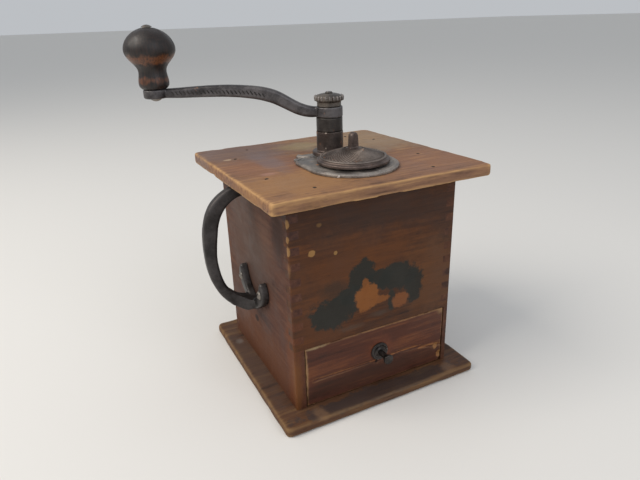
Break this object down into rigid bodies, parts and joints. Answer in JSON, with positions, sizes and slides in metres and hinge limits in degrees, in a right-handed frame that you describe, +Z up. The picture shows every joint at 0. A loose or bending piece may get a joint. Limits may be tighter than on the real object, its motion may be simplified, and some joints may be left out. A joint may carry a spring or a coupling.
{
  "type": "hand crank coffee grinder",
  "caption": "Wooden box coffee mill with a cast iron top crank, swinging hopper lid, side handle and a pull-out grounds drawer.",
  "frame": {"origin": "centre of the base board's underside, which rests on the table; the crank's axis stands on it", "axes": "+Z up along the crank's axis, drawer faces -Y, side handle on -X"},
  "size_m": [0.2399, 0.1805, 0.2955],
  "materials": {
    "top_board_wood": "worn oil finish",
    "base_board_wood": "worn oil finish",
    "box_wood": "worn oil finish",
    "drawer_front_wood": "worn oil finish",
    "drawer_box_wood": "bare planed",
    "turned_knob_wood": "worn dark lacquer",
    "cast_iron": "bare, browned",
    "blackened_iron": "old black japan",
    "burr_iron": "as cast",
    "shaft_steel": "turned, dulled",
    "fastener_steel": "dulled, rust-toned"
  },
  "bodies": {
    "box": {"base_board": "base_board_wood", "top_board": "top_board_wood", "front_panel": "box_wood", "back_panel": "box_wood", "left_panel": "box_wood", "right_panel": "box_wood", "top_nails": "fastener_steel", "base_nails": "fastener_steel", "side_handle": "blackened_iron", "handle_screws": "fastener_steel", "cover_plate": "cast_iron", "plate_bolts": "fastener_steel", "bolt_nuts": "fastener_steel", "tower_collar": "cast_iron", "hopper_bowl": "cast_iron", "outer_burr": "burr_iron", "shaft_bridge": "cast_iron", "bridge_screws": "fastener_steel"},
    "lid": {"hopper_lid": "cast_iron"},
    "crank": {"crank_arm": "blackened_iron", "knob_spindle": "fastener_steel"},
    "grip": {"crank_knob": "turned_knob_wood"},
    "nut": {"adjusting_nut": "cast_iron"},
    "shaft": {"main_shaft": "shaft_steel", "inner_burr": "burr_iron", "burr_pin": "shaft_steel"},
    "drawer": {"drawer_front": "drawer_front_wood", "drawer_left_side": "drawer_box_wood", "drawer_right_side": "drawer_box_wood", "drawer_back": "drawer_box_wood", "drawer_bottom": "drawer_box_wood", "drawer_nails": "fastener_steel", "drawer_rosette": "blackened_iron", "drawer_knob": "blackened_iron", "drawer_knob_nut": "fastener_steel"}
  },
  "joints": [
    {"name": "crank_turn", "type": "hinge", "parent": "box", "child": "crank", "pos_m": [0, 0, 0.222], "axis": [0, 0, 1], "continuous": true},
    {"name": "grip_spin", "type": "hinge", "parent": "crank", "child": "grip", "pos_m": [-0.12376, 0.06036, 0.2474], "axis": [0, 0, 1], "continuous": true},
    {"name": "nut_turn", "type": "hinge", "parent": "crank", "child": "nut", "pos_m": [0, 0, 0.2304], "axis": [0, 0, 1], "range_deg": [-181, 361]},
    {"name": "shaft_lift", "type": "slide", "parent": "crank", "child": "shaft", "axis": [0, 0, 1], "range_m": [-0.00125, 0.00063]},
    {"name": "lid_swing", "type": "hinge", "parent": "box", "child": "lid", "pos_m": [0, 0, 0.1914], "axis": [0, 0, 1], "continuous": true},
    {"name": "drawer_slide", "type": "slide", "parent": "box", "child": "drawer", "axis": [0, -1, 0], "range_m": [0, 0.125]}
  ],
  "couplings": [
    {"joint": "nut_turn", "follows": "shaft_lift", "rad_per_m": -5026.5}
  ]
}
